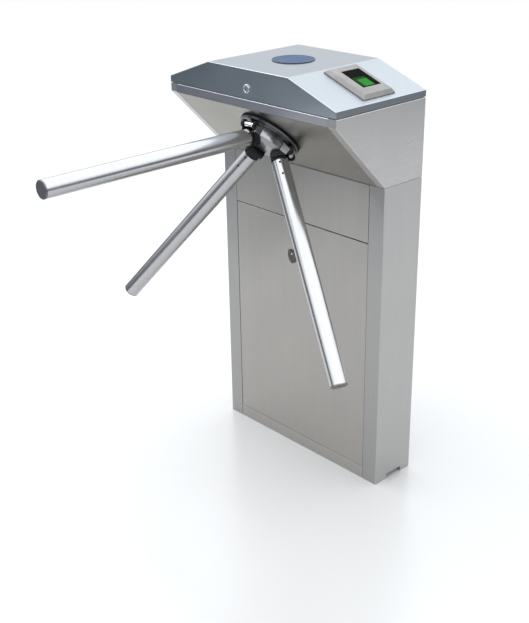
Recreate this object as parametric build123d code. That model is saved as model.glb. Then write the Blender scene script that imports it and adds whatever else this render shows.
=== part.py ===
"""Visitor counter turnstile: a compact upright tripod turnstile in brushed stainless sheet.

Frame: millimetres, +Z up, origin on the floor at the centre of the column's foot.
The blocking arm points along -Y, the cabinet's width lies along X.
"""
from build123d import *
from math import atan2, cos, radians, sin, tan
import os

# ---------------------------------------------------------------- driving dimensions
WIDTH = 520.0               # cabinet width
COLUMN_DEPTH = 124.0        # depth of the column below the head
HEAD_DEPTH = 278.0          # depth of the head and the lid
SEAM_Z = 743.0              # top of the column, bottom of the head
TILT = 44.5                 # hub axis below the horizontal, and half the angle of the arms' cone
HEAD_TOP = 918.4            # rim of the head box
BACK_TOP = 915.0            # back panel, below the lid's hinge
HINGE_RELIEF_R = 2.6        # rounds the cheeks where the lid's back wall swings past
LID_BOTTOM = 920.0
LID_EAVE = 934.0            # where the lid's slopes start
LID_TOP = 983.0
LID_CREASE = 124.0          # half width of the lid's flat top
SHEET = 1.5                 # stainless sheet
FOLD_R = 2.2                # outer radius of the sheet's folds
LID_FOLD_R = 1.4
PANEL_FOLD_R = 1.2          # door and front panels
SEAM_GAP = 1.0              # open joint between neighbouring panels

STRIP = 42.5                # front strips of the column's side panels
BACK_STRIP = 20.0
CHEEK_STRIP = 20.6          # front strips of the head's cheeks
DOOR_BOTTOM = 31.0
DOOR_TOP = 607.5
DOOR_RETURN = 10.0          # depth of the door's folded edge

HUB_UP_SLOPE = 125.0        # hub centre, measured up the sloped panel from its lower edge
APEX_DEPTH = 7.0            # the arms' axes meet this far behind the panel's outer face

ARM_TUBE_R = 19.0
ARM_TUBE_WALL = 1.5
ARM_ROOT = 76.0             # tube's start, measured from where the arms' axes meet
ARM_TIP = 588.0
KNUCKLE_W = 30.0            # width of an arm's tongue between its cheeks
CHEEK_T = 5.0

FLANGE_R = 74.0
DRUM_R = 50.0

SHAFT_R = 12.5
BEARING_R = 26.0
BEARING_W = 15.0

# ---------------------------------------------------------------- derived places
HALF = WIDTH / 2
FRONT = -COLUMN_DEPTH / 2                   # column's front face
BACK = COLUMN_DEPTH / 2
HEAD_FRONT = BACK - HEAD_DEPTH
OVERHANG = HEAD_DEPTH - COLUMN_DEPTH
SLOPE_TOP = SEAM_Z + OVERHANG / tan(radians(TILT))
SIN_T = sin(radians(TILT))
COS_T = cos(radians(TILT))
OUT = Vector(0, -COS_T, -SIN_T)             # out of the sloped panel, along the hub axis
UP_SLOPE = Vector(0, -SIN_T, COS_T)
APEX = Vector(0, FRONT, SEAM_Z) + UP_SLOPE * HUB_UP_SLOPE - OUT * APEX_DEPTH

# Hub frame: x along the cabinet, y up the slope, z out along the hub axis from the apex.
HUB = Plane(origin=APEX, x_dir=(1, 0, 0), z_dir=OUT)
# Arm frame inside the hub frame: z along the arm, y away from the hub axis.
ARM = Plane(origin=(0, 0, 0), x_dir=(1, 0, 0), z_dir=(0, SIN_T, COS_T))
ARM_ANGLES = {"front": 0.0, "right": -120.0, "left": 120.0}

PANEL_OUT = APEX_DEPTH                      # sloped panel's outer face in the hub frame
FLANGE_BACK = PANEL_OUT + 1.5
FLANGE_FRONT = FLANGE_BACK + 6.0
DRUM_SHOULDER = 36.0
DRUM_END = 44.0
DRUM_END_R = 40.0
SLOT_FLOOR = 24.5                           # how near the axis the drum's slots reach
CHEEK_GAP = 0.5                             # between an arm's tongue and each cheek

PIVOT_Y = -6.0                              # pivot of an arm in the arm frame
PIVOT_Z = 61.0
PIVOT_R = 4.0
PIVOT_PLAY = 0.1
LATCH_Y = 26.5                              # latch bar above the tube's root, in the arm frame
LATCH_Z = 64.0
LATCH_R = 6.5
EAR_R = 9.0                                 # rounded ends of the fork cheeks
EAR_WEB = 13.0
WALL_T = 2.0                                # drum's plate outside each cheek
WALL_OUTLINE = ((30, 15), (44.7, 17.4), (64.2, 24.8), (61.5, 39), (44, 36), (30, 36))

PLATE_FRONT = -14.0                         # mechanism plate, in the hub frame
PLATE_T = 8.0
PLATE_BACK = PLATE_FRONT - PLATE_T
HOUSING_END = -76.0
DISC_TOP = -80.0                            # index disc
DISC_T = 10.0
DISC_R = 58.0
NOTCH_W = 14.2
NOTCH_R = 48.0
ENCODER_Z = -113.0
ENCODER_R = 32.0

PAWL_X = 71.6
PAWL_Y = -25.8
PAWL_PIN_R = 5.0
PAWL_NOSE = (-11.0, 30.0)                   # nose tip from the pawl's pivot
PAWL_TAIL = 22.0                            # plunger pin below the pivot
SOLENOID_X = (98.0, 138.0)

LID_LOCK_Z = 942.0
DOOR_LOCK_X = -20.0
DOOR_LOCK_Z = 512.0
LID_HINGE = (59.5, 918.0)                   # y and z of the lid's hinge pin

BASE_T = 12.0
ANCHOR_X = 400.0
ANCHOR_Y = 70.0
ANCHOR_R = 7.0

CENTRE_Y = (HEAD_FRONT + BACK) / 2          # middle of the lid's depth
INDICATOR_R = 47.5
READER_T = 9.0                              # reader's height above the lid's slope
READER_CHAMFER = 7.0
WINDOW_FLOOR = 5.5
WINDOW_T = 3.0

PARTS = {}


# ---------------------------------------------------------------- helpers
def block(x0, x1, y0, y1, z0, z1):
    """Box between two corners."""
    size = (x1 - x0, y1 - y0, z1 - z0)
    return Pos((x0 + x1) / 2, (y0 + y1) / 2, (z0 + z1) / 2) * Box(*size)


def rod(radius, z0, z1, x=0.0, y=0.0):
    """Cylinder along Z between two heights."""
    return Pos(x, y, (z0 + z1) / 2) * Cylinder(radius, z1 - z0)


def tube(outer, inner, z0, z1):
    return rod(outer, z0, z1) - rod(inner, z0 - 1, z1 + 1)


def rod_x(radius, x0, x1, y=0.0, z=0.0):
    return Pos((x0 + x1) / 2, y, z) * (Rot(0, 90, 0) * Cylinder(radius, x1 - x0))


def rod_y(radius, y0, y1, x=0.0, z=0.0):
    return Pos(x, (y0 + y1) / 2, z) * (Rot(90, 0, 0) * Cylinder(radius, y1 - y0))


def prism_x(points, x0, x1):
    """Polygon of (y, z) points, extruded along X."""
    face = Plane.YZ.offset(x0) * make_face(Polyline(*points, close=True))
    return extrude(face, amount=x1 - x0, dir=(1, 0, 0))


def prism_y(points, y0, y1):
    """Polygon of (x, z) points, extruded along Y."""
    face = Plane.XZ.offset(-y0) * make_face(Polyline(*points, close=True))
    return extrude(face, amount=y1 - y0, dir=(0, 1, 0))


def prism_z(points, z0, z1):
    """Polygon of (x, y) points, extruded along Z."""
    face = Plane.XY.offset(z0) * make_face(Polyline(*points, close=True))
    return extrude(face, amount=z1 - z0, dir=(0, 0, 1))


def edges_on(edges, axis, value):
    """The edges whose middle lies at a value along an axis."""
    return [edge for edge in edges if abs(getattr(edge.center(), axis) - value) < 0.01]


def in_hub(shape):
    return HUB.location * shape


def in_arm(shape, angle):
    return HUB.location * Rot(0, 0, angle) * ARM.location * shape


def mirrored(shape):
    return mirror(shape, about=Plane.YZ)


def add(name, *shapes):
    """Store a node: one solid, or a group of separate solids."""
    solids = [solid for shape in shapes for solid in shape.solids()]
    PARTS[name] = solids[0] if len(solids) == 1 else Compound(children=solids)


# ---------------------------------------------------------------- column
def build_base():
    """Heavy floor plate with four anchor holes and a cable hole."""
    plate = block(-HALF + 3, HALF - 3, FRONT + 3, BACK - 3, 0, BASE_T)
    for x in (-ANCHOR_X / 2, ANCHOR_X / 2):
        for y in (-ANCHOR_Y / 2, ANCHOR_Y / 2):
            plate -= rod(ANCHOR_R, -1, BASE_T + 1, x, y)
    plate -= block(-45, 45, -30, 30, -1, BASE_T + 1)
    plate -= block(HALF - 45, HALF, -22, 28, -1, BASE_T + 1)
    add("base_plate", plate)


def side_panel(x_sign, notch):
    """Folded C: side sheet with a wide front strip and a narrow back strip."""
    outer = block(HALF - STRIP, HALF, FRONT, BACK, 0, SEAM_Z - SEAM_GAP)
    outer = fillet(edges_on(outer.edges().filter_by(Axis.Z), "X", HALF), FOLD_R)
    outer = fillet(edges_on(outer.edges().group_by(Axis.Z)[-1], "X", HALF), SHEET - 0.3)
    inner = block(HALF - STRIP - 1, HALF - SHEET, FRONT + SHEET, BACK - SHEET, -1, SEAM_Z + 1)
    inner = fillet(edges_on(inner.edges().filter_by(Axis.Z), "X", HALF - SHEET), FOLD_R - SHEET)
    back_cut = block(HALF - STRIP - 1, HALF - BACK_STRIP, 0, BACK + 1, -1, SEAM_Z + 1)
    panel = outer - inner - back_cut
    if notch:
        panel -= block(HALF - 5, HALF + 5, -22, 28, -1, 13)
    return panel if x_sign > 0 else mirrored(panel)


def build_column():
    add("column_right_panel", side_panel(1, True))
    add("column_left_panel", side_panel(-1, False))
    inner = HALF - STRIP - SEAM_GAP
    plinth = block(-inner, inner, FRONT, FRONT + SHEET, 0, DOOR_BOTTOM)
    plinth += block(-inner, inner, FRONT, FRONT + 12, DOOR_BOTTOM - SHEET, DOOR_BOTTOM)
    add("plinth_strip", plinth)
    upper = block(-inner, inner, FRONT, FRONT + SHEET, DOOR_TOP + SEAM_GAP, SEAM_Z - SEAM_GAP)
    upper += block(-inner, inner, FRONT, FRONT + 14, DOOR_TOP + SEAM_GAP,
                   DOOR_TOP + SEAM_GAP + SHEET)
    add("upper_front_panel", upper)
    back_x = HALF - BACK_STRIP - SEAM_GAP
    add("back_panel", block(-back_x, back_x, BACK - SHEET, BACK, 2, BACK_TOP))

    post = block(200, 240, 14, 54, BASE_T, SEAM_Z - 3)
    post -= block(202, 238, 16, 52, BASE_T - 1, SEAM_Z)
    floor = block(-HALF + 2, HALF - 2, FRONT + 2, BACK - 2, SEAM_Z - 3, SEAM_Z)
    floor -= block(-70, 70, -40, 32, SEAM_Z - 4, SEAM_Z + 1)
    add("inner_frame", post, mirrored(post), floor)


# ---------------------------------------------------------------- head
def head_profile(inset):
    """Side outline of the head, moved inwards by the inset."""
    drop = inset / SIN_T - inset / tan(radians(TILT))
    return [(HEAD_FRONT + inset, SLOPE_TOP + drop),
            (HEAD_FRONT + inset, HEAD_TOP - inset),
            (BACK - inset, HEAD_TOP - inset),
            (BACK - inset, SEAM_Z),
            (FRONT + inset / COS_T, SEAM_Z)]


def build_head():
    outer = prism_x(head_profile(0.0), HALF - CHEEK_STRIP, HALF)
    top_back = edges_on(outer.edges().filter_by(Axis.X).group_by(Axis.Z)[-1], "Y", BACK)
    outer = fillet(top_back, HINGE_RELIEF_R)
    outer = fillet(edges_on(outer.edges(), "X", HALF), FOLD_R)
    inner = prism_x(head_profile(SHEET), HALF - CHEEK_STRIP - 1, HALF - SHEET)
    inner = fillet(edges_on(inner.edges(), "X", HALF - SHEET), FOLD_R - SHEET)
    cheek = outer - inner
    add("head_right_cheek", cheek)
    add("head_left_cheek", mirrored(cheek))

    inner_x = HALF - CHEEK_STRIP - SEAM_GAP
    band_bottom = SLOPE_TOP + 0.3
    band = block(-inner_x, inner_x, HEAD_FRONT, HEAD_FRONT + 14, band_bottom, HEAD_TOP)
    band = fillet(edges_on(band.edges().group_by(Axis.Z)[-1], "Y", HEAD_FRONT), FOLD_R)
    band_inner = block(-HALF, HALF, HEAD_FRONT + SHEET, HEAD_FRONT + 15, 0, HEAD_TOP - SHEET)
    band -= fillet(edges_on(band_inner.edges().group_by(Axis.Z)[-1], "Y", HEAD_FRONT + SHEET),
                   FOLD_R - SHEET)
    add("head_front_band", band)

    slope_length = OVERHANG / SIN_T
    low = -HUB_UP_SLOPE + 0.8
    high = slope_length - HUB_UP_SLOPE - 2.0
    slope = block(-inner_x, inner_x, low, high, PANEL_OUT - SHEET, PANEL_OUT)
    slope -= rod(36, 0, 20)
    add("sloped_panel", in_hub(slope))

    rim = 9.0
    seal = block(-HALF + rim, HALF - rim, HEAD_FRONT + rim, BACK - rim, HEAD_TOP, LID_BOTTOM - 0.4)
    seal -= block(-HALF + rim + 6, HALF - rim - 6, HEAD_FRONT + rim + 5, BACK, 900, 930)
    add("lid_seal", seal)


# ---------------------------------------------------------------- mechanism
def build_mechanism():
    plate = block(-172, 172, -100, 80, PLATE_BACK, PLATE_FRONT)
    plate -= rod(33, PLATE_BACK - 1, PLATE_FRONT + 1)

    corner_low = HUB.from_local_coords(Vector(0, -100, PLATE_BACK))
    corner_high = HUB.from_local_coords(Vector(0, 66, PLATE_BACK))
    outline = [(corner_low.Y, corner_low.Z), (corner_high.Y, corner_high.Z),
               (corner_high.Y + 40, corner_high.Z), (30, 790), (30, SEAM_Z), (-50, SEAM_Z)]
    gusset = prism_x(outline, 160, 164)
    foot = block(160, 184, -50, 30, SEAM_Z, SEAM_Z + 4)
    add("mechanism_frame", in_hub(plate), gusset + foot, mirrored(gusset + foot))

    housing = rod(36, HOUSING_END, PLATE_BACK) + rod(55, PLATE_BACK - 8, PLATE_BACK)
    housing -= rod(22, HOUSING_END - 1, PLATE_BACK + 1)
    housing -= rod(BEARING_R, PLATE_BACK - 2 - BEARING_W, PLATE_BACK + 1)
    housing -= rod(BEARING_R, HOUSING_END - 1, HOUSING_END + 2 + BEARING_W)
    screws = []
    for k in range(4):
        place = Rot(0, 0, 45 + 90 * k) * Pos(45, 0, 0)
        housing -= place * rod(3.2, PLATE_BACK - 9, PLATE_BACK + 1)
        screws.append(in_hub(place * (rod(3.2, PLATE_BACK - 8, PLATE_BACK)
                                      + rod(5.0, PLATE_BACK - 14, PLATE_BACK - 8))))
    add("bearing_housing", in_hub(housing))
    add("housing_screws", *screws)

    outers, inners, balls = [], [], []
    for low in (PLATE_BACK - 2 - BEARING_W, HOUSING_END + 2):
        high = low + BEARING_W
        middle = (low + high) / 2
        groove = Torus(19.25, 4.2)
        outers.append(in_hub(tube(BEARING_R, 21.5, low, high) - Pos(0, 0, middle) * groove))
        inners.append(in_hub(tube(17.0, SHAFT_R, low, high) - Pos(0, 0, middle) * groove))
        for k in range(9):
            balls.append(in_hub(Rot(0, 0, 40 * k) * Pos(19.25, 0, middle) * Sphere(4.0)))
    add("bearing_outer_rings", *outers, *balls)
    add("bearing_inner_rings", *inners)


def pawl_shape():
    """Lever about its pivot: nose towards the index disc, tail towards the plunger."""
    nose_x, nose_y = PAWL_NOSE
    arm = prism_z([(-7, -4), (7, -4), (7, 30), (4, nose_y + 4), (nose_x, nose_y + 4),
                   (nose_x, nose_y - 4), (-4, nose_y - 8), (-7, 14)], 0, DISC_T - 1)
    tail = block(-4.5, 4.5, -PAWL_TAIL - 5, 0, 0, DISC_T - 1)
    body = arm + tail + rod(10, 0, DISC_T - 1)
    body -= rod(PAWL_PIN_R + 0.05, -1, DISC_T)
    return body + rod(2.5, -6, 0, 0, -PAWL_TAIL)


def spring_coil(x, y):
    """Torsion spring round the pawl's pin: closely wound, so its turns read as rings."""
    coil = rod(8.0, -74, -62, x, y) - rod(6.2, -75, -61, x, y)
    for k in range(4):
        coil -= Pos(x, y, -63.5 - 3.0 * k) * (rod(9, -0.3, 0.3) - rod(7.2, -1, 1))
    return coil


def build_locking():
    bottom = DISC_TOP - DISC_T + 0.5
    for name, sign in (("exit", 1), ("entry", -1)):
        pawl = Pos(PAWL_X, PAWL_Y, bottom) * pawl_shape()
        plunger = rod_x(5.0, PAWL_X + 9, SOLENOID_X[0] + 24, PAWL_Y - PAWL_TAIL, bottom + 4.5)
        fork = block(PAWL_X - 6, PAWL_X + 12, PAWL_Y - PAWL_TAIL - 6, PAWL_Y - PAWL_TAIL + 6,
                     bottom - 6.5, bottom - 0.5)
        fork -= block(PAWL_X - 2.8, PAWL_X + 2.8, PAWL_Y - PAWL_TAIL - 4,
                      PAWL_Y - PAWL_TAIL + 4, bottom - 8, bottom)
        link = block(PAWL_X + 9, PAWL_X + 12, PAWL_Y - PAWL_TAIL - 5,
                     PAWL_Y - PAWL_TAIL + 5, bottom - 6.5, bottom + 4.5)
        plunger = plunger + fork + link
        if sign < 0:
            pawl = mirrored(pawl)
            plunger = mirrored(plunger)
        add("pawl_" + name, in_hub(pawl))
        add("plunger_" + name, in_hub(plunger))

    pin = rod(PAWL_PIN_R, DISC_TOP - DISC_T - 4, PLATE_BACK, PAWL_X, PAWL_Y)
    pin += rod(8.0, DISC_TOP - DISC_T - 6, DISC_TOP - DISC_T - 1, PAWL_X, PAWL_Y)
    pin += rod(8.5, PLATE_BACK - 12, PLATE_BACK, PAWL_X, PAWL_Y)
    spring = spring_coil(PAWL_X, PAWL_Y)
    add("pawl_pivots", in_hub(pin), in_hub(mirrored(pin)), in_hub(spring), in_hub(mirrored(spring)))

    x0, x1 = SOLENOID_X
    y0 = PAWL_Y - PAWL_TAIL
    axis_z = bottom + 4.5
    yoke = block(x0, x1, y0 - 16, y0 + 16, axis_z - 15, axis_z + 15)
    yoke -= block(x0 + 3, x1 - 3, y0 - 17, y0 + 17, axis_z - 12, axis_z + 12)
    coil = rod_x(11.9, x0 + 3, x1 - 3, y0, axis_z)
    bracket = block(x0, x0 + 4, y0 - 16, y0 + 16, axis_z + 15, PLATE_BACK)
    bracket += block(x0, x0 + 24, y0 - 16, y0 + 16, PLATE_BACK - 4, PLATE_BACK)
    solenoid = yoke + coil + bracket
    solenoid -= rod_x(5.3, x0 - 1, x1 - 6, y0, axis_z)
    add("lock_solenoids", in_hub(solenoid), in_hub(mirrored(solenoid)))


# ---------------------------------------------------------------- hub and shaft
def build_hub():
    flange = rod(FLANGE_R, FLANGE_BACK, FLANGE_FRONT)
    flange = chamfer(flange.edges().group_by(Axis.Z)[-1], 2.0)
    flange -= rod(8, FLANGE_BACK - 1, FLANGE_FRONT + 1)
    add("hub_flange", in_hub(flange))

    drum = rod(DRUM_R, FLANGE_FRONT, DRUM_SHOULDER)
    drum += Pos(0, 0, (DRUM_SHOULDER + DRUM_END) / 2) * Cone(
        DRUM_R, DRUM_END_R, DRUM_END - DRUM_SHOULDER)
    drum -= rod(DRUM_R - 22, FLANGE_FRONT - 1, DRUM_END - 6)
    slot_half = KNUCKLE_W / 2 + CHEEK_GAP
    for angle in ARM_ANGLES.values():
        drum -= Rot(0, 0, angle) * block(-slot_half, slot_half, SLOT_FLOOR, DRUM_R + 5,
                                         DRUM_SHOULDER + 0.2, DRUM_END + 1)
        wall_x = slot_half + CHEEK_T
        for wall in (prism_x(WALL_OUTLINE, wall_x, wall_x + WALL_T),
                     prism_x(WALL_OUTLINE, -wall_x - WALL_T, -wall_x)):
            drum += Rot(0, 0, angle) * wall
    for angle in ARM_ANGLES.values():
        for cheek in fork_cheeks():
            drum -= Rot(0, 0, angle) * ARM.location * cheek
    add("hub_drum", in_hub(drum))

    shaft = rod(30, -8, FLANGE_BACK) + rod(16, PLATE_BACK - 2, -8)
    shaft += rod(SHAFT_R, -92, PLATE_BACK - 2)
    shaft += rod(SHAFT_R - 0.5, -104, -92) + rod(8, -118, -104)
    shaft += rod(8, FLANGE_BACK, FLANGE_FRONT)
    add("hub_shaft", in_hub(shaft))

    nut = extrude(Pos(0, 0, -102) * RegularPolygon(19, 6), 10) - rod(SHAFT_R - 0.5, -110, -90)
    add("shaft_nut", in_hub(nut))

    disc = rod(DISC_R, DISC_TOP - DISC_T, DISC_TOP) + rod(21, DISC_TOP - DISC_T - 2, HOUSING_END - 1)
    disc -= rod(SHAFT_R, -120, 0)
    for k in range(6):
        notch = block(NOTCH_R, DISC_R + 2, -NOTCH_W / 2, NOTCH_W / 2, -100, -70)
        disc -= Rot(0, 0, 60 * k) * notch
    add("index_disc", in_hub(disc))

    encoder = rod(ENCODER_R, ENCODER_Z - 0.75, ENCODER_Z + 0.75) + rod(12, ENCODER_Z - 4, ENCODER_Z + 4)
    encoder -= rod(8, -130, -100)
    for k in range(12):
        encoder -= Rot(0, 0, 30 * k) * block(24, 29, -2.5, 2.5, ENCODER_Z - 2, ENCODER_Z + 2)
    add("encoder_disc", in_hub(encoder))


def fork_cheeks():
    """The two lobed ears let into the drum, in the arm frame: pivot pin at one end, latch bar at the other."""
    inner = KNUCKLE_W / 2 + CHEEK_GAP
    outer = inner + CHEEK_T
    pivot = Vector(0, PIVOT_Y, PIVOT_Z)
    latch = Vector(0, LATCH_Y, LATCH_Z)
    across = (latch - pivot).normalized().cross(Vector(1, 0, 0)) * EAR_WEB / 2
    corners = (pivot + across, latch + across, latch - across, pivot - across)
    ear = prism_x([(corner.Y, corner.Z) for corner in corners], inner, outer)
    ear += rod_x(EAR_R, inner, outer, PIVOT_Y, PIVOT_Z)
    ear += rod_x(EAR_R, inner, outer, LATCH_Y, LATCH_Z)
    return ear, mirrored(ear)


def knuckle():
    """Root of an arm, in the arm frame: tongue, shoulder and the plug inside the tube."""
    half = KNUCKLE_W / 2
    tongue = rod_x(11.0, -half, half, PIVOT_Y, PIVOT_Z)
    neck = prism_x([(PIVOT_Y - 11, PIVOT_Z), (PIVOT_Y - 12, ARM_ROOT - 4), (15, ARM_ROOT - 4),
                    (13, PIVOT_Z + 5), (PIVOT_Y + 11, PIVOT_Z)], -half, half)
    shoulder = rod(ARM_TUBE_R - 0.2, ARM_ROOT - 4, ARM_ROOT)
    plug = rod(ARM_TUBE_R - ARM_TUBE_WALL, ARM_ROOT, ARM_ROOT + 48)
    body = tongue + neck + shoulder + plug
    return body - rod_x(PIVOT_R + PIVOT_PLAY, -half - 1, half + 1, PIVOT_Y, PIVOT_Z)


def screw_places():
    """Set screws through the tube: two along each of two lines round the root."""
    return [Rot(0, 0, angle) * Pos(0, 0, ARM_ROOT + along)
            for angle in (180.0, -60.0) for along in (7.0, 34.0)]


def build_arms():
    cheeks, bars, pins, side_caps = [], [], [], []
    for name, angle in ARM_ANGLES.items():
        plug = knuckle()
        pipe = tube(ARM_TUBE_R, ARM_TUBE_R - ARM_TUBE_WALL, ARM_ROOT, ARM_TIP - 3)
        screws = []
        for place in screw_places():
            hole = place * rod_x(2.6, 10, 25)
            plug -= hole
            pipe -= hole
            screws.append(in_arm(place * rod_x(2.6, 10, ARM_TUBE_R - 1.0), angle))
        cap = rod(ARM_TUBE_R, ARM_TIP - 3, ARM_TIP)
        cap = chamfer(cap.edges().group_by(Axis.Z)[-1], 0.8)
        cap += rod(ARM_TUBE_R - ARM_TUBE_WALL, ARM_TIP - 18, ARM_TIP - 3)
        add("knuckle_" + name, in_arm(plug, angle), *screws)
        add("tube_" + name, in_arm(pipe, angle))
        if name == "front":
            add("cap_front", in_arm(cap, angle))
        else:
            side_caps.append(in_arm(cap, angle))

        reach = KNUCKLE_W / 2 + CHEEK_GAP + CHEEK_T
        pivot = rod_x(PIVOT_R, -reach, reach, PIVOT_Y, PIVOT_Z)
        bar = rod_x(LATCH_R, -reach + CHEEK_T, reach - CHEEK_T, LATCH_Y, LATCH_Z)
        bar += rod_x(LATCH_R - 3, -reach + 1.5, reach - 1.5, LATCH_Y, LATCH_Z)
        for cheek in fork_cheeks():
            cheeks.append(in_arm(cheek - pivot - bar, angle))
        bars.append(in_arm(bar, angle))
        pins.append(in_arm(pivot, angle))
    add("caps_side", *side_caps)
    add("fork_cheeks", *cheeks)
    add("latch_bars", *bars)
    add("pivot_pins", *pins)


# ---------------------------------------------------------------- lid
def lid_profile(inset):
    slope = atan2(LID_TOP - LID_EAVE, HALF - LID_CREASE)
    side = inset
    eave = LID_EAVE - inset * (1 - sin(slope)) / cos(slope)
    crease = LID_CREASE - inset * tan(slope / 2)
    return [(-HALF + side, LID_BOTTOM), (-HALF + side, eave), (-crease, LID_TOP - inset),
            (crease, LID_TOP - inset), (HALF - side, eave), (HALF - side, LID_BOTTOM)]


def slope_plane():
    """On the lid's right slope: x down the slope from the crease, z out of it."""
    angle = atan2(LID_TOP - LID_EAVE, HALF - LID_CREASE)
    return Plane(origin=(LID_CREASE, CENTRE_Y, LID_TOP), x_dir=(cos(angle), 0, -sin(angle)),
                 z_dir=(sin(angle), 0, cos(angle)))


def build_lid():
    slope = slope_plane().location
    inner = [(x, z - 2 if z == LID_BOTTOM else z) for x, z in lid_profile(SHEET)]
    shell = prism_y(lid_profile(0.0), HEAD_FRONT, BACK)
    shell = fillet([edge for edge in shell.edges() if edge.center().Z > LID_BOTTOM + 1], LID_FOLD_R)
    shell -= prism_y(inner, HEAD_FRONT + SHEET, BACK - SHEET)
    shell -= rod_y(8.0, HEAD_FRONT - 1, HEAD_FRONT + 5, 0, LID_LOCK_Z)
    shell -= rod(38, LID_TOP - 5, LID_TOP + 1, 0, CENTRE_Y)
    shell -= slope * block(30, 100, -20, 20, -5, 1)
    add("lid_shell", shell)

    ring = tube(INDICATOR_R, INDICATOR_R - 2.5, LID_TOP, LID_TOP + 2.0)
    add("indicator_ring", Pos(0, CENTRE_Y, 0) * ring)
    lens = rod(INDICATOR_R - 2.5, LID_TOP, LID_TOP + 1.6) + rod(37.5, LID_TOP - 6, LID_TOP)
    add("indicator_lens", Pos(0, CENTRE_Y, 0) * lens)

    body = slope * block(9, 130, -43, 54, 0, READER_T)
    top_edges = body.edges().filter_by(lambda e: (slope.inverse() * e).center().Z > READER_T - 1)
    body = chamfer(top_edges, READER_CHAMFER)
    body -= slope * block(32, 99, -16, 38, WINDOW_FLOOR, 20)
    body -= slope * block(54, 94, -12, 16, 3, WINDOW_FLOOR + 1)
    add("reader_housing", body)
    window = block(32, 99, -16, 38, WINDOW_FLOOR, WINDOW_FLOOR + WINDOW_T)
    add("reader_window", slope * (window - block(57, 96, -13, 27, WINDOW_FLOOR - 1, 20)))
    add("reader_prism", slope * block(57, 96, -13, 27, WINDOW_FLOOR, WINDOW_FLOOR + WINDOW_T - 1))
    board = slope * block(36, 94, -18, 18, -5, -3)
    disc = Pos(0, CENTRE_Y, 0) * rod(36, LID_TOP - 9, LID_TOP - 7)
    add("lid_boards", board + slope * block(40, 60, -10, 10, -9, -5),
        disc + Pos(0, CENTRE_Y, 0) * block(-12, 12, -8, 8, LID_TOP - 16, LID_TOP - 9))

    y0 = HEAD_FRONT - 3
    barrel = rod_y(9.5, y0, HEAD_FRONT, 0, LID_LOCK_Z) + rod_y(8.0, HEAD_FRONT, y0 + 23, 0, LID_LOCK_Z)
    barrel -= block(-0.9, 0.9, y0 - 1, y0 + 3, LID_LOCK_Z - 4, LID_LOCK_Z + 4)
    barrel += rod_y(3.0, y0 + 23, y0 + 26, 0, LID_LOCK_Z)
    add("lid_lock_barrel", barrel)
    cam = block(-6, 6, y0 + 23.2, y0 + 25.2, LID_LOCK_Z - 30, LID_LOCK_Z)
    cam += rod_y(8, y0 + 23.2, y0 + 25.2, 0, LID_LOCK_Z)
    cam -= rod_y(3.05, y0 + 20, y0 + 30, 0, LID_LOCK_Z)
    add("lid_lock_cam", cam)

    hinge_y, hinge_z = LID_HINGE
    moving, fixed = [], []
    knuckle_length = 40.0
    for k in range(11):
        x0 = -220 + k * knuckle_length
        side = moving if k % 2 else fixed
        side.append(rod_x(1.9, x0 + 0.3, x0 + knuckle_length - 0.3, hinge_y, hinge_z))
    leaf_up = block(-220, 220, BACK - SHEET - 1.2, BACK - SHEET, hinge_z + 2.3, hinge_z + 20)
    leaf_down = block(-220, 220, BACK - SHEET - 1.2, BACK - SHEET, hinge_z - 24, hinge_z - 2.3)
    bore = rod_x(1.05, -230, 230, hinge_y, hinge_z)
    leaves = {}
    for name, leaf, knuckles, z0, z1 in (
            ("lid_hinge_moving", leaf_up, moving, hinge_z, hinge_z + 3),
            ("lid_hinge_fixed", leaf_down, fixed, hinge_z - 3, hinge_z)):
        for item in knuckles:
            box = item.bounding_box()
            leaf += item + block(box.min.X, box.max.X, BACK - SHEET - 1.2, BACK - SHEET, z0, z1)
        leaves[name] = leaf - bore
    add("lid_hinge_moving", leaves["lid_hinge_moving"])
    pin = rod_x(1.0, -221, 221, hinge_y, hinge_z)
    add("lid_hinge_fixed", leaves["lid_hinge_fixed"], pin)


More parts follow.
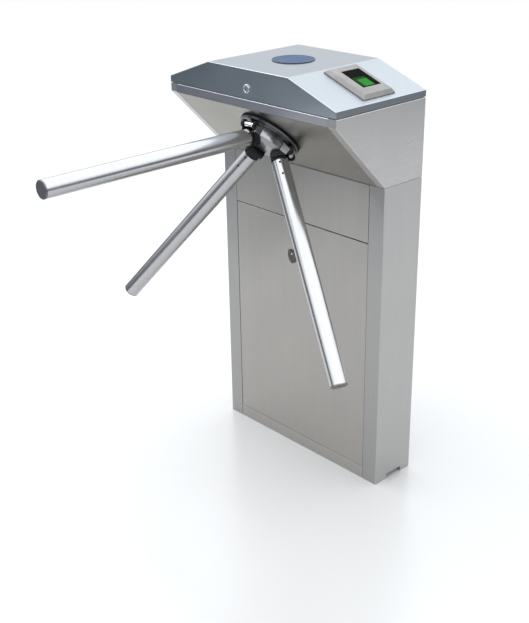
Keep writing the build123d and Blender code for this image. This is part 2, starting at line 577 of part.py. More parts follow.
# ---------------------------------------------------------------- door and locks
def build_door():
    inner = HALF - STRIP - SEAM_GAP
    low = DOOR_BOTTOM + SEAM_GAP
    high = DOOR_TOP - SEAM_GAP
    door = block(-inner, inner, FRONT, FRONT + DOOR_RETURN, low, high)
    door = fillet(door.faces().sort_by(Axis.Y)[0].edges(), PANEL_FOLD_R)
    door -= block(-inner + SHEET, inner - SHEET, FRONT + SHEET, FRONT + DOOR_RETURN + 1,
                  low + SHEET, high - SHEET)
    door -= rod_y(9.0, FRONT - 1, FRONT + 5, DOOR_LOCK_X, DOOR_LOCK_Z)
    add("front_door", door)

    barrel = rod_y(11.5, FRONT - 1.5, FRONT, DOOR_LOCK_X, DOOR_LOCK_Z)
    barrel += rod_y(9.0, FRONT, FRONT + 14, DOOR_LOCK_X, DOOR_LOCK_Z)
    barrel += rod_y(3.0, FRONT + 14, FRONT + 17.5, DOOR_LOCK_X, DOOR_LOCK_Z)
    barrel -= block(DOOR_LOCK_X - 0.9, DOOR_LOCK_X + 0.9, FRONT - 2, FRONT + 2,
                    DOOR_LOCK_Z - 4, DOOR_LOCK_Z + 4)
    barrel += rod_y(2.0, FRONT - 4.0, FRONT - 1.5, DOOR_LOCK_X, DOOR_LOCK_Z + 9)
    add("door_lock_barrel", barrel)
    cam = block(DOOR_LOCK_X, DOOR_LOCK_X + 38, FRONT + 14.4, FRONT + 16.9,
                DOOR_LOCK_Z - 7, DOOR_LOCK_Z + 7)
    cam += rod_y(9, FRONT + 14.4, FRONT + 16.9, DOOR_LOCK_X, DOOR_LOCK_Z)
    cam -= rod_y(3.05, FRONT, FRONT + 20, DOOR_LOCK_X, DOOR_LOCK_Z)
    add("door_lock_cam", cam)

    top = DOOR_LOCK_Z + 17
    cover = prism_y([(DOOR_LOCK_X - 13, top), (DOOR_LOCK_X + 13, top),
                     (DOOR_LOCK_X + 13.5, top - 16), (DOOR_LOCK_X + 8, top - 28),
                     (DOOR_LOCK_X, top - 33), (DOOR_LOCK_X - 8, top - 28),
                     (DOOR_LOCK_X - 13.5, top - 16)], FRONT - 3.6, FRONT - 1.8)
    cover -= rod_y(2.05, FRONT - 5, FRONT, DOOR_LOCK_X, DOOR_LOCK_Z + 9)
    add("keyhole_cover", cover)

    bar_z = DOOR_LOCK_Z + 18
    bar = block(-236, 236, FRONT + 10.6, FRONT + 13.6, bar_z, bar_z + 26)
    for x0, x1 in ((-236, -233), (233, 236)):
        bar += block(x0, x1, FRONT + 10.6, 14, bar_z, bar_z + 26)
    y0 = HEAD_FRONT + SHEET
    foot_z = HEAD_TOP - 12
    tab_z = LID_LOCK_Z + 8
    catch = block(34, 44, y0, y0 + 22.5, foot_z, foot_z + 3)
    catch += block(34, 44, y0 + 15.5, y0 + 22.5, foot_z, tab_z + 3)
    catch += block(12, 44, y0 + 15.5, y0 + 22.5, tab_z, tab_z + 3)
    add("lock_catches", bar, catch)


# ---------------------------------------------------------------- electrics
def build_electrics():
    supply_top = 250.0
    case = block(-65, 45, 22, BACK - SHEET, 60, supply_top)
    case -= block(-63, 43, 24, BACK - SHEET - 2, 62, supply_top - 20)
    add("power_supply", case + block(-60, 40, 34, BACK - SHEET - 2, 62, 180))

    board_y = BACK - SHEET - 12
    board = block(-80, 80, board_y - 1.6, board_y, 420, 540)
    for x in (-72, 72):
        for z in (428, 532):
            board += rod_y(3.5, board_y, BACK - SHEET, x, z)
    board += block(-70, 20, board_y - 14, board_y - 1.6, 424, 434)
    board += block(-60, -30, board_y - 5, board_y - 1.6, 470, 500)
    for x in (0, 24, 48):
        board += block(x, x + 18, board_y - 18, board_y - 1.6, 480, 508)
    add("controller_board", board)

    reach = DISC_R + 5
    support = block(-20, 20, reach, reach + 4, ENCODER_Z - 6, ENCODER_Z + 12)
    fork = block(-8, 8, 20, reach, ENCODER_Z - 6, ENCODER_Z - 3)
    fork += block(-8, 8, 20, reach, ENCODER_Z + 3, ENCODER_Z + 6)
    fork += block(-8, 8, ENCODER_R + 3, ENCODER_R + 8, ENCODER_Z - 6, ENCODER_Z + 6)
    stem = block(-20, -14, reach, reach + 4, ENCODER_Z + 12, PLATE_BACK)
    stem += block(14, 20, reach, reach + 4, ENCODER_Z + 12, PLATE_BACK)
    add("sensor_board", in_hub(Rot(0, 0, 180) * (support + fork + stem)))

    lead_y = BACK - SHEET - 6
    route = [(-20, lead_y, supply_top), (-20, lead_y, 300), (-45, lead_y, 350), (-45, lead_y, 413)]
    path = FilletPolyline(*route, radius=20)
    lead = sweep(Plane(origin=route[0], z_dir=(0, 0, 1)) * Circle(3.5), path=path)
    trunk_route = [(60, lead_y, 543), (60, lead_y, 620), (40, lead_y - 30, 680),
                   (40, lead_y - 45, 790)]
    trunk_path = FilletPolyline(*trunk_route, radius=25)
    trunk = sweep(Plane(origin=trunk_route[0], z_dir=(0, 0, 1)) * Circle(4.5), path=trunk_path)
    add("wiring_harness", lead, trunk)


def main():
    build_base()
    build_column()
    build_head()
    build_mechanism()
    build_locking()
    build_hub()
    build_arms()
    build_lid()
    build_door()
    build_electrics()
    os.makedirs("parts", exist_ok=True)
    for name, shape in PARTS.items():
        export_step(shape, "parts/" + name + ".step")
    print(len(PARTS), "nodes; apex", APEX, "slope top", round(SLOPE_TOP, 2))


main()
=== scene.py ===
"""Looks of the visitor counter turnstile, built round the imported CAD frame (metres, +Z up)."""
import math

import bmesh
import bpy
from mathutils import Matrix, Vector


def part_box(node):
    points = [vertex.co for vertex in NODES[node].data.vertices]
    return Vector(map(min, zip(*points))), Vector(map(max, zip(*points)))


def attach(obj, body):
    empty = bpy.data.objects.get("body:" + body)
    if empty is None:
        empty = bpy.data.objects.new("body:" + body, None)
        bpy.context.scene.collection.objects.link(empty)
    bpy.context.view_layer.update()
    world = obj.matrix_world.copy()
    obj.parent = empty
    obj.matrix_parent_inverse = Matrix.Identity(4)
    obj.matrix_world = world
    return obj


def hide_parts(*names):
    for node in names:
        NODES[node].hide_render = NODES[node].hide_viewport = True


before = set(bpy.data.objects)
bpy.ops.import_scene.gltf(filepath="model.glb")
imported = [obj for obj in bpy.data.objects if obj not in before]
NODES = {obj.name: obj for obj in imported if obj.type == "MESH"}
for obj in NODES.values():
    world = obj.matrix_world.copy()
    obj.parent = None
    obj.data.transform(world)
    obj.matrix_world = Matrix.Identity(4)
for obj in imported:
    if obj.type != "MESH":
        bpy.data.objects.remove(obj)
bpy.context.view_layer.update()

# ---------------------------------------------------------------- camera and studio, in metres
CAMERA_AT = Vector((1.6519, -1.6940, 1.4249))
CAMERA_TOWARDS = Vector((-0.67103, 0.61673, -0.41153))
CAMERA_ROLL = math.radians(-1.0)
CAMERA_LENS = 60.6          # millimetres, on a sensor of the width below
SENSOR_WIDTH = 36.0
CLIP_NEAR, CLIP_FAR = 0.05, 60.0
FLOOR_RADIUS = 3.4
FLOOR_CENTRE = (0.8, 0.8)
FLOOR_GREYS = (0.445, 0.46)
FLOOR_ROUGHNESS = 0.26
FLOOR_IOR = 1.75
SKY = [                     # share of the way from straight down to straight up, and the light there
    (0.00, (0.55, 0.54, 0.52)),
    (0.25, (0.50, 0.50, 0.50)),
    (0.36, (0.34, 0.38, 0.44)),
    (0.47, (0.17, 0.19, 0.22)),
    (0.54, (0.26, 0.28, 0.31)),
    (0.61, (1.40, 1.43, 1.48)),
    (0.76, (2.05, 2.10, 2.15)),
    (1.00, (2.00, 2.05, 2.10)),
]
SOFTBOXES = [               # name, place, the point it is aimed at, width and height, watts
    ("key", (-1.6, -0.6, 3.0), (0, 0, 0.7), (1.8, 1.8), 35),
    ("fill", (2.6, -0.4, 2.4), (0, 0, 0.6), (1.6, 1.6), 8),
]

# ---------------------------------------------------------------- sizes of the object, as in the CAD
MM = 0.001
TILT = math.radians(44.5)   # hub axis below the horizontal
APEX = Vector((0.0, -0.144621, 0.837063))
HUB_OUT = Vector((0.0, -math.cos(TILT), -math.sin(TILT)))
HUB_UP = Vector((0.0, -math.sin(TILT), math.cos(TILT)))
LID_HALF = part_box("lid_shell")[1].x     # from the middle to the lid's end

# Flange, in millimetres: radii from the hub's axis, and heights along it from the apex.
GASKET_BORE_R, GASKET_R = 60.0, 74.0
GASKET_BACK, GASKET_FRONT = 8.5, 11.6
PLATE_BORE_R, PLATE_R = 9.0, 72.4
PLATE_BACK, PLATE_FRONT = 11.7, 14.4
PLATE_EDGE = 0.7            # height of the plate's rim under its chamfer
PLATE_CHAMFER = 2.2         # width of the chamfer
GROOVE_IN, GROOVE_OUT = 62.0, 66.5
GROOVE_DEPTH = 0.7
GROOVE_WALL = 1.0           # width of each sloping wall of the groove
CHAMFER_HIGHLIGHT_RING = [(67.0, 13.9), (72.8, 11.9), (73.0, 12.3), (67.6, 14.45)]    # satin ring over the chamfer, as its painted highlight

# Lid lock, in millimetres, with the barrel's front face at height 0.
BEZEL_BORE_R, BEZEL_R = 6.4, 9.5
BEZEL_BACK, BEZEL_RIM = -3.4, -3.2
PLUG_R = 6.3
PLUG_FRONT, PLUG_BACK = -0.7, -22.0
PLUG_SIDES = 48
KEYHOLE_HALF_W, KEYHOLE_HALF_H = 0.8, 3.6
KEYHOLE_DEPTH = 4.0

SHARP_ANGLE = math.radians(35)      # faces at a greater angle than this meet at a hard edge
BEVEL_ANGLE = math.radians(32)      # and edges sharper than this are rounded
WELD_REACH = 0.000005               # metres between corners that are one corner
SOFTENED = {                # metres of rounding on the sharp edges of CAD nodes
    "hub_drum": 0.0008, "fork_cheeks": 0.0010, "knuckle_left": 0.0010, "knuckle_right": 0.0010,
    "knuckle_front": 0.0010, "latch_bars": 0.0006, "reader_housing": 0.0016,
    "reader_prism": 0.0004, "indicator_ring": 0.0005, "keyhole_cover": 0.0006,
    "door_lock_barrel": 0.0004, "pivot_pins": 0.0006, "indicator_lens": 0.0004,
    "upper_front_panel": 0.0006, "plinth_strip": 0.0006, "sloped_panel": 0.0005,
}


# ---------------------------------------------------------------- node helpers
def new_material(name):
    """A new material, its node tree and its Principled shader."""
    material = bpy.data.materials.new(name)
    material.use_nodes = True
    tree = material.node_tree
    return material, tree, tree.nodes["Principled BSDF"]


def node(tree, kind, **settings):
    """A new node with its settings."""
    made = tree.nodes.new(kind)
    for key, value in settings.items():
        setattr(made, key, value)
    return made


def object_noise(tree, scale, detail=2.0, rough=0.5):
    """Noise over the object's own coordinates; scale holds its frequency per metre by axis."""
    coords = node(tree, "ShaderNodeTexCoord")
    mapping = node(tree, "ShaderNodeMapping")
    mapping.inputs["Scale"].default_value = scale
    noise = node(tree, "ShaderNodeTexNoise")
    noise.inputs["Scale"].default_value = 1.0
    noise.inputs["Detail"].default_value = detail
    noise.inputs["Roughness"].default_value = rough
    tree.links.new(coords.outputs["Object"], mapping.inputs["Vector"])
    tree.links.new(mapping.outputs["Vector"], noise.inputs["Vector"])
    return noise.outputs["Fac"]


def ramp(tree, value, low, high, out_low, out_high):
    """A value mapped from one range to another, held at the ends."""
    mapped = node(tree, "ShaderNodeMapRange")
    mapped.inputs["From Min"].default_value = low
    mapped.inputs["From Max"].default_value = high
    mapped.inputs["To Min"].default_value = out_low
    mapped.inputs["To Max"].default_value = out_high
    tree.links.new(value, mapped.inputs["Value"])
    return mapped.outputs["Result"]


def maths(tree, operation, a, b):
    """A Math node's result on two values, each a number or another node's output."""
    made = node(tree, "ShaderNodeMath", operation=operation)
    for socket, value in zip(made.inputs, (a, b)):
        if isinstance(value, (int, float)):
            socket.default_value = value
        else:
            tree.links.new(value, socket)
    return made.outputs[0]


def mix_colour(tree, factor, a, b):
    """From colour a to colour b by factor; each may be another node's output."""
    mixed = node(tree, "ShaderNodeMix", data_type="RGBA")
    for socket, value in ((mixed.inputs[0], factor), (mixed.inputs[6], a), (mixed.inputs[7], b)):
        if hasattr(value, "is_linked"):
            tree.links.new(value, socket)
        elif isinstance(value, (int, float)):
            socket.default_value = value
        else:
            socket.default_value = (*value, 1.0)
    return mixed.outputs[2]


def edge_mask(tree, radius):
    """1 near the edges of the mesh, 0 on its faces."""
    bevel = node(tree, "ShaderNodeBevel", samples=4)
    bevel.inputs["Radius"].default_value = radius
    geometry = node(tree, "ShaderNodeNewGeometry")
    dot = node(tree, "ShaderNodeVectorMath", operation="DOT_PRODUCT")
    tree.links.new(bevel.outputs["Normal"], dot.inputs[0])
    tree.links.new(geometry.outputs["Normal"], dot.inputs[1])
    return ramp(tree, dot.outputs["Value"], 0.98, 0.80, 0.0, 1.0)


def facing(tree, axis):
    """1 on faces square to the axis, 0 on the others."""
    geometry = node(tree, "ShaderNodeNewGeometry")
    split = node(tree, "ShaderNodeSeparateXYZ")
    tree.links.new(geometry.outputs["Normal"], split.inputs["Vector"])
    return ramp(tree, maths(tree, "ABSOLUTE", split.outputs[axis], 0.0), 0.90, 0.98, 0.0, 1.0)


def bump(tree, shader, height, depth, strength):
    """Relief of a depth in metres on a shader."""
    made = node(tree, "ShaderNodeBump")
    made.inputs["Strength"].default_value = strength
    made.inputs["Distance"].default_value = depth
    tree.links.new(height, made.inputs["Height"])
    tree.links.new(made.outputs["Normal"], shader.inputs["Normal"])


# ---------------------------------------------------------------- materials
GRAIN = {                   # frequencies per metre, long along the brushing
    "x": ((14, 900, 900), (5, 120, 120)),
    "y": ((900, 14, 900), (120, 5, 120)),
    "z": ((900, 900, 14), (120, 120, 5)),
}


def scaled(colour, factor):
    """The colour made lighter or darker, at most white."""
    return tuple(min(1.0, c * factor) for c in colour)


def brushed(name, colour, roughness, grain, contrast=0.035, edge=0.5, reach=0.0012, face_shade=(),
            light_drift=0.0):
    """Brushed stainless steel: fine grain, broad streaks, faint smudges, and edges lightened as a
    painted highlight (darkened as painted shade where edge is below 0).

    edge is the painted highlight (above 0) or painted shade (below 0) within reach of an edge, in
    metres.
    face_shade holds pairs of an axis and a factor: faces square to that axis are darker by the factor,
    as painted shade.
    light_drift is the painted light and shade per metre along X, over the lid's width: darker towards
    -X, lighter towards +X.
    """
    material, tree, shader = new_material(name)
    fine_scale, broad_scale = GRAIN[grain]
    fine = object_noise(tree, fine_scale, 3.0, 0.6)
    broad = object_noise(tree, broad_scale, 2.0, 0.5)
    smudge = object_noise(tree, (6, 6, 6), 4.0, 0.55)
    grain_mix = maths(tree, "ADD", maths(tree, "MULTIPLY", fine, 0.6),
                      maths(tree, "MULTIPLY", broad, 0.4))
    base = mix_colour(tree, ramp(tree, grain_mix, 0.3, 0.7, 0.0, 1.0),
                      scaled(colour, 1 - contrast), scaled(colour, 1 + contrast))
    # Painted light and shade: the steel darker towards -X and lighter towards +X across the lid's
    # width.
    if light_drift:
        coords = node(tree, "ShaderNodeTexCoord")
        split = node(tree, "ShaderNodeSeparateXYZ")
        tree.links.new(coords.outputs["Object"], split.inputs["Vector"])
        across = ramp(tree, split.outputs["X"], -LID_HALF, LID_HALF, 0.0, 1.0)
        painted_light_gradient = mix_colour(tree, across, (1 - LID_HALF * light_drift,) * 3, (1 + LID_HALF * light_drift,) * 3)
        product = node(tree, "ShaderNodeVectorMath", operation="MULTIPLY")
        tree.links.new(base, product.inputs[0])
        tree.links.new(painted_light_gradient, product.inputs[1])
        base = product.outputs["Vector"]
    # Painted shade: faces square to each given axis are darkened by which way they face.
    for axis, factor in face_shade:
        base = mix_colour(tree, facing(tree, axis), base, scaled(colour, factor))
    # Painted highlight along the edges; where edge is below 0 it is painted shade in the seams.
    painted_edge_light = mix_colour(tree, edge_mask(tree, reach), base, scaled(colour, 1 + edge))
    tree.links.new(painted_edge_light, shader.inputs["Base Color"])
    rough = maths(tree, "ADD", ramp(tree, fine, 0.3, 0.7, roughness - 0.025, roughness + 0.03),
                  ramp(tree, smudge, 0.35, 0.75, -0.03, 0.06))
    tree.links.new(rough, shader.inputs["Roughness"])
    shader.inputs["Metallic"].default_value = 1.0
    bump(tree, shader, fine, 0.000007, 0.6)
    return material


def cast(name, colour, roughness, metallic=0.0, coat=0.0, grit=350, depth=0.00006, shine=0.5):
    """Painted or cast surface: fine orange peel, uneven gloss and rubbed edges."""
    material, tree, shader = new_material(name)
    fine = object_noise(tree, (grit, grit, grit), 3.0, 0.6)
    patch = object_noise(tree, (25, 25, 25), 3.0, 0.5)
    base = mix_colour(tree, ramp(tree, patch, 0.35, 0.7, 0.0, 1.0),
                      scaled(colour, 0.85), scaled(colour, 1.15))
    rubbed = mix_colour(tree, maths(tree, "MULTIPLY", edge_mask(tree, 0.0008), 0.45), base,
                        tuple(min(1.0, c * 1.6 + 0.04) for c in colour))
    tree.links.new(rubbed, shader.inputs["Base Color"])
    rough = ramp(tree, patch, 0.3, 0.7, roughness - 0.06, roughness + 0.08)
    tree.links.new(rough, shader.inputs["Roughness"])
    shader.inputs["Metallic"].default_value = metallic
    shader.inputs["Specular IOR Level"].default_value = shine
    shader.inputs["Coat Weight"].default_value = coat
    shader.inputs["Coat Roughness"].default_value = 0.12
    bump(tree, shader, fine, depth, 0.7)
    return material


def turned(name, colour, roughness, scratch=700):
    """Polished or turned metal with hairline scratches."""
    material, tree, shader = new_material(name)
    hair = object_noise(tree, (scratch, scratch * 0.35, scratch), 4.0, 0.65)
    patch = object_noise(tree, (18, 18, 18), 3.0, 0.5)
    base = mix_colour(tree, ramp(tree, patch, 0.3, 0.7, 0.0, 1.0),
                      scaled(colour, 0.9), scaled(colour, 1.05))
    tree.links.new(base, shader.inputs["Base Color"])
    rough = maths(tree, "ADD", ramp(tree, hair, 0.3, 0.7, roughness * 0.7, roughness * 1.3),
                  ramp(tree, patch, 0.4, 0.8, 0.0, 0.05))
    tree.links.new(rough, shader.inputs["Roughness"])
    shader.inputs["Metallic"].default_value = 1.0
    bump(tree, shader, hair, 0.00001, 0.5)
    return material


# The prism's lit area: an axis, and the shares of the prism's box where it is dark and fully lit.
LIT_AREA = (("X", 0.24, 0.34), ("X", 0.99, 0.93), ("Y", 0.20, 0.27), ("Y", 0.97, 0.90))


def glowing(name, colour, strength):
    """Backlit green prism of the reader: lit over its lamps, dark round them."""
    material, tree, shader = new_material(name)
    coords = node(tree, "ShaderNodeTexCoord")
    split = node(tree, "ShaderNodeSeparateXYZ")
    tree.links.new(coords.outputs["Generated"], split.inputs["Vector"])
    cloud = object_noise(tree, (60, 60, 60), 3.0, 0.5)
    lit = ramp(tree, cloud, 0.3, 0.7, 0.75, 1.0)
    for axis, dark_at, full_at in LIT_AREA:
        part = ramp(tree, split.outputs[axis], dark_at, full_at, 0.0, 1.0)
        lit = maths(tree, "MULTIPLY", lit, part)
    tone = mix_colour(tree, lit, scaled(colour, 0.10), colour)
    tree.links.new(tone, shader.inputs["Base Color"])
    tree.links.new(tone, shader.inputs["Emission Color"])
    shader.inputs["Emission Strength"].default_value = strength
    shader.inputs["Roughness"].default_value = 0.55
    shader.inputs["Specular IOR Level"].default_value = 0.05
    return material


# The cabinet's stainless parts are one steel; their different base tones (darker slope, lighter
# cheeks, bluish band and lid) are painted light and shade.
MATERIALS = {
    # Column edges darkened: painted shade in the seams between panels.
    "column": brushed("column_stainless", (0.385, 0.372, 0.352), 0.33, "z", edge=-0.7, reach=0.0022),
    "plinth": brushed("plinth_stainless", (0.390, 0.378, 0.360), 0.33, "x", edge=0.9),
    "side": brushed("side_stainless", (0.435, 0.430, 0.422), 0.31, "z", edge=0.2,
                    face_shade=(("Y", 0.82),)),
    "cheek": brushed("cheek_stainless", (0.49, 0.485, 0.480), 0.29, "y", edge=1.0, reach=0.002),
    # Band: painted light across its width.
    "band": brushed("band_stainless", (0.415, 0.425, 0.450), 0.30, "x", light_drift=0.5),
    "slope": brushed("slope_stainless", (0.270, 0.259, 0.236), 0.31, "x"),
    # Lid: painted shade on its faces square to X and Z, and painted light across its width.
    "lid": brushed("lid_stainless", (0.345, 0.378, 0.408), 0.30, "x", face_shade=(("X", 0.60), ("Z", 0.74)),
                   light_drift=0.9),
    "arm": brushed("arm_stainless", (0.48, 0.48, 0.485), 0.22, "z", contrast=0.05),
    "cap": turned("end_cap_grey", (0.20, 0.20, 0.205), 0.30),
    "satin": turned("hub_satin_chrome", (0.30, 0.30, 0.315), 0.22),
    "flange": turned("hub_flange_dark", (0.085, 0.088, 0.095), 0.26),
    "chrome": turned("polished_chrome", (0.80, 0.80, 0.82), 0.08),
    "black": cast("black_casting", (0.010, 0.010, 0.012), 0.40, shine=0.22),
    "zinc": turned("zinc_steel", (0.55, 0.56, 0.58), 0.38, scratch=300),
    "machined": turned("machined_steel", (0.50, 0.50, 0.51), 0.28, scratch=500),
    "bearing": turned("bearing_steel", (0.62, 0.62, 0.63), 0.14),
    "aluminium": brushed("aluminium_plate", (0.62, 0.63, 0.64), 0.36, "x", contrast=0.08),
    "housing": cast("cast_housing", (0.30, 0.30, 0.31), 0.55, metallic=0.8, grit=220, depth=0.0001),
    "indicator": cast("indicator_blue", (0.016, 0.044, 0.105), 0.50, shine=0.2),
    "rim": cast("indicator_rim", (0.02, 0.03, 0.05), 0.45),
    "bezel": cast("reader_bezel", (0.195, 0.19, 0.185), 0.55, grit=900, depth=0.00005),
    "glass": cast("reader_black", (0.002, 0.002, 0.002), 0.50, grit=60, depth=0.00001, shine=0.01),
    "green": glowing("reader_green", (0.005, 0.13, 0.007), 0.45),
    "board": cast("circuit_board", (0.02, 0.12, 0.05), 0.40, coat=0.3, grit=500, depth=0.00008),
    "seal": cast("seal_rubber", (0.015, 0.015, 0.016), 0.65),
    "jacket": cast("lead_jacket", (0.02, 0.02, 0.022), 0.50),
    "lock": turned("lock_metal", (0.70, 0.70, 0.72), 0.14),
    "cover": cast("cover_dark", (0.085, 0.082, 0.078), 0.40, metallic=0.5),
}

FINISH = {                  # CAD nodes by the material that they wear
    "column": ["upper_front_panel", "front_door", "back_panel"],
    "plinth": ["plinth_strip"],
    "side": ["column_left_panel", "column_right_panel"],
    "cheek": ["head_left_cheek", "head_right_cheek"],
    "band": ["head_front_band"],
    "slope": ["sloped_panel"],
    "lid": ["lid_shell"],
    "arm": ["tube_left", "tube_right", "tube_front"],
    "cap": ["caps_side", "cap_front"],
    "satin": ["hub_drum"],
    "flange": ["hub_flange"],
    "chrome": ["latch_bars"],
    "black": ["fork_cheeks", "pivot_pins", "knuckle_left", "knuckle_right", "knuckle_front"],
    "zinc": ["base_plate", "inner_frame", "housing_screws", "lock_solenoids", "lock_catches",
             "lid_hinge_fixed", "lid_hinge_moving", "lid_lock_cam", "door_lock_cam"],
    "machined": ["hub_shaft", "shaft_nut", "index_disc", "pawl_entry", "pawl_exit",
                 "plunger_entry", "plunger_exit", "pawl_pivots", "encoder_disc"],
    "bearing": ["bearing_outer_rings", "bearing_inner_rings"],
    "aluminium": ["mechanism_frame", "power_supply"],
    "housing": ["bearing_housing"],
    "indicator": ["indicator_lens"],
    "rim": ["indicator_ring"],
    "bezel": ["reader_housing"],
    "glass": ["reader_window"],
    "green": ["reader_prism"],
    "board": ["sensor_board", "controller_board", "lid_boards"],
    "seal": ["lid_seal"],
    "jacket": ["wiring_harness"],
    "lock": ["lid_lock_barrel", "door_lock_barrel"],
    "cover": ["keyhole_cover"],
}


def dress(thing, key):
    """Give an object its material."""
    thing.data.materials.clear()
    thing.data.materials.append(MATERIALS[key])


def soften(thing, width):
    """Round the sharp edges of a CAD node: its split corners are welded first."""
    weld = thing.modifiers.new("Weld", "WELD")
    weld.merge_threshold = WELD_REACH
    bevel = thing.modifiers.new("Bevel", "BEVEL")
    bevel.width = width
    bevel.segments = 3
    bevel.limit_method = "ANGLE"
    bevel.angle_limit = BEVEL_ANGLE
    bevel.harden_normals = True


for key, names in FINISH.items():
    for name in names:
        dress(NODES[name], key)


# ---------------------------------------------------------------- pieces made here
# X along the cabinet, Y up the slope and Z out along the hub's axis, from the apex.
HUB_FRAME = Matrix.Translation(APEX) @ Matrix((
    (1, 0, 0),
    (0, HUB_UP.y, HUB_OUT.y),
    (0, HUB_UP.z, HUB_OUT.z),
)).to_4x4()


def finish_piece(name, work, key, body, matrix):
    """Finish a bmesh in millimetres as a piece that rides on a body."""
    bmesh.ops.recalc_face_normals(work, faces=work.faces)
    mesh = bpy.data.meshes.new(name)
    work.to_mesh(mesh)
    work.free()
    mesh.transform(matrix @ Matrix.Scale(MM, 4))
    mesh.shade_smooth()
    mesh.set_sharp_from_angle(angle=SHARP_ANGLE)
    made = bpy.data.objects.new(name, mesh)
    bpy.context.scene.collection.objects.link(made)
    dress(made, key)
    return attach(made, body)


def lathe(name, profile, key, body, matrix, segments=128):
    """Turned piece: a closed profile of (radius, height) points swept round the matrix's Z."""
    work = bmesh.new()
    rings = []
    for k in range(segments):
        turn = 2 * math.pi * k / segments
        rings.append([work.verts.new((r * math.cos(turn), r * math.sin(turn), z)) for r, z in profile])
    for k in range(segments):
        for i in range(len(profile)):
            j = (i + 1) % len(profile)
            near, far = rings[k], rings[(k + 1) % segments]
            work.faces.new((near[i], near[j], far[j], far[i]))
    return finish_piece(name, work, key, body, matrix)


def rounded(profile, radius, steps=4):
    """The profile with each corner replaced by a curve that starts radius away from it."""
    points = []
    count = len(profile)
    for k in range(count):
        here = Vector(profile[k])
        before, after = Vector(profile[k - 1]), Vector(profile[(k + 1) % count])
        reach_in = min(radius, (before - here).length / 2.2)
        reach_out = min(radius, (after - here).length / 2.2)
        start = here + (before - here).normalized() * reach_in
        end = here + (after - here).normalized() * reach_out
        for i in range(steps + 1):
            t = i / steps
            points.append(tuple((1 - t) ** 2 * start + 2 * t * (1 - t) * here + t ** 2 * end))
    return points


def build_flange():
    """Mounting flange: black gasket behind, dark face with a groove, and a satin ring on the chamfer
    as its painted highlight.
    """
    gasket = [(GASKET_BORE_R, GASKET_BACK), (GASKET_R, GASKET_BACK), (GASKET_R, GASKET_FRONT),
              (GASKET_BORE_R, GASKET_FRONT)]
    lathe("flange_gasket", rounded(gasket, 0.8), "black", "hub", HUB_FRAME)
    groove_floor = PLATE_FRONT - GROOVE_DEPTH
    plate = [(PLATE_BORE_R, PLATE_BACK), (PLATE_R, PLATE_BACK), (PLATE_R, PLATE_BACK + PLATE_EDGE),
             (PLATE_R - PLATE_CHAMFER, PLATE_FRONT), (GROOVE_OUT, PLATE_FRONT),
             (GROOVE_OUT - GROOVE_WALL, groove_floor), (GROOVE_IN + GROOVE_WALL, groove_floor),
             (GROOVE_IN, PLATE_FRONT), (PLATE_BORE_R, PLATE_FRONT)]
    plate_piece = lathe("flange_plate", rounded(plate, 0.35, 3), "flange", "hub", HUB_FRAME)
    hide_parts("hub_flange")
    # Painted highlight: a satin ring laid over the flange's dark chamfer.
    lathe("flange_chamfer_highlight", rounded(CHAMFER_HIGHLIGHT_RING, 0.15, 2), "satin", "hub", HUB_FRAME)


def sunk_outline(work, outline, front, back):
    """Walls from an outline's front to its closed back; gives the edges of the open front."""
    near = [work.verts.new((x, y, front)) for x, y in outline]
    far = [work.verts.new((x, y, back)) for x, y in outline]
    following = list(range(1, len(outline))) + [0]
    for k, j in enumerate(following):
        work.faces.new((near[k], near[j], far[j], far[k]))
    work.faces.new(far)
    return [work.edges.get((near[k], near[j])) for k, j in enumerate(following)]


def build_lid_lock():
    """Cam lock in the lid's front: rounded bezel, recessed plug and a key slot."""
    low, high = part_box("lid_lock_barrel")
    matrix = (Matrix.Translation((0, low.y, (low.z + high.z) / 2))
              @ Matrix.Rotation(math.radians(90), 4, "X"))
    bezel = [(BEZEL_BORE_R, BEZEL_BACK), (BEZEL_BORE_R, 0.0), (BEZEL_R, 0.0), (BEZEL_R, BEZEL_RIM)]
    bezel_piece = lathe("lid_lock_bezel", rounded(bezel, 0.9), "lock", "lid", matrix, 64)
    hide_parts("lid_lock_barrel")
    turns = [2 * math.pi * k / PLUG_SIDES for k in range(PLUG_SIDES)]
    plug = [(PLUG_R * math.cos(turn), PLUG_R * math.sin(turn)) for turn in turns]
    w, h = KEYHOLE_HALF_W, KEYHOLE_HALF_H
    keyhole = [(-w, -h), (w, -h), (w, h), (-w, h)]
    work = bmesh.new()
    edges = sunk_outline(work, plug, PLUG_FRONT, PLUG_BACK)
    edges += sunk_outline(work, keyhole, PLUG_FRONT, PLUG_FRONT - KEYHOLE_DEPTH)
    bmesh.ops.triangle_fill(work, edges=edges, use_beauty=True)
    finish_piece("lid_lock_plug", work, "lock", "lid", matrix)


build_flange()
build_lid_lock()
for name, width in SOFTENED.items():
    soften(NODES[name], width)


# ---------------------------------------------------------------- studio
def build_floor():
    """Pale disc with a soft reflection."""
    mesh = bpy.data.meshes.new("studio_floor")
    work = bmesh.new()
    bmesh.ops.create_circle(work, cap_ends=True, segments=128, radius=FLOOR_RADIUS,
                            matrix=Matrix.Translation((*FLOOR_CENTRE, 0.0)))
    work.to_mesh(mesh)
    work.free()
    floor = bpy.data.objects.new("studio_floor", mesh)
    bpy.context.scene.collection.objects.link(floor)
    material, tree, shader = new_material("studio_floor")
    cloud = object_noise(tree, (2, 2, 2), 2.0, 0.5)
    low, high = FLOOR_GREYS
    tree.links.new(mix_colour(tree, cloud, (low,) * 3, (high,) * 3), shader.inputs["Base Color"])
    shader.inputs["Roughness"].default_value = FLOOR_ROUGHNESS
    shader.inputs["IOR"].default_value = FLOOR_IOR
    mesh.materials.append(material)


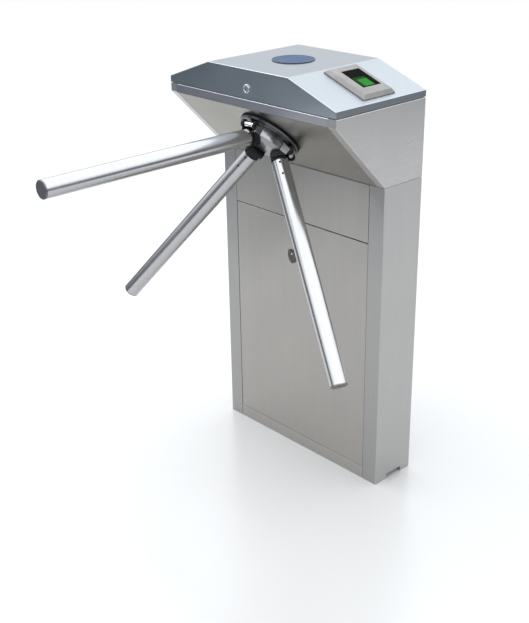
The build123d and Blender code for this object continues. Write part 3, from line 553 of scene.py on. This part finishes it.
def build_world():
    """Soft pale surround with a darker horizon; the camera sees plain white behind the object."""
    world = bpy.data.worlds.new("studio")
    bpy.context.scene.world = world
    world.use_nodes = True
    tree = world.node_tree
    background = tree.nodes["Background"]
    coords = node(tree, "ShaderNodeTexCoord")
    split = node(tree, "ShaderNodeSeparateXYZ")
    tree.links.new(coords.outputs["Generated"], split.inputs["Vector"])
    height = ramp(tree, split.outputs["Z"], -1.0, 1.0, 0.0, 1.0)
    stops = node(tree, "ShaderNodeValToRGB")
    elements = stops.color_ramp.elements
    while len(elements) < len(SKY):
        elements.new(0.5)
    for element, (at, tone) in zip(elements, SKY):
        element.position = at
        element.color = (*tone, 1.0)
    tree.links.new(height, stops.inputs["Fac"])
    path = node(tree, "ShaderNodeLightPath")
    seen = mix_colour(tree, path.outputs["Is Camera Ray"], stops.outputs["Color"], (1.0, 1.0, 1.0))
    tree.links.new(seen, background.inputs["Color"])
    background.inputs["Strength"].default_value = 1.0


def softbox(name, at, towards, size, power):
    """White rectangular lamp."""
    lamp = bpy.data.lights.new(name, "AREA")
    lamp.shape = "RECTANGLE"
    lamp.size, lamp.size_y = size
    lamp.energy = power
    made = bpy.data.objects.new(name, lamp)
    made.location = at
    made.rotation_euler = (Vector(towards) - Vector(at)).to_track_quat("-Z", "Y").to_euler()
    bpy.context.scene.collection.objects.link(made)


def build_camera():
    """Camera at the angle that the object is shown from."""
    data = bpy.data.cameras.new("camera")
    data.lens = CAMERA_LENS
    data.sensor_width = SENSOR_WIDTH
    data.clip_start = CLIP_NEAR
    data.clip_end = CLIP_FAR
    camera = bpy.data.objects.new("camera", data)
    aim = CAMERA_TOWARDS.to_track_quat("-Z", "Y").to_matrix()
    camera.matrix_world = (Matrix.Translation(CAMERA_AT)
                           @ (aim @ Matrix.Rotation(CAMERA_ROLL, 3, "Z")).to_4x4())
    bpy.context.scene.collection.objects.link(camera)
    bpy.context.scene.camera = camera


build_floor()
build_world()
for settings in SOFTBOXES:
    softbox(*settings)
build_camera()
bpy.context.scene.view_settings.view_transform = "Standard"
bpy.context.scene.view_settings.look = "None"
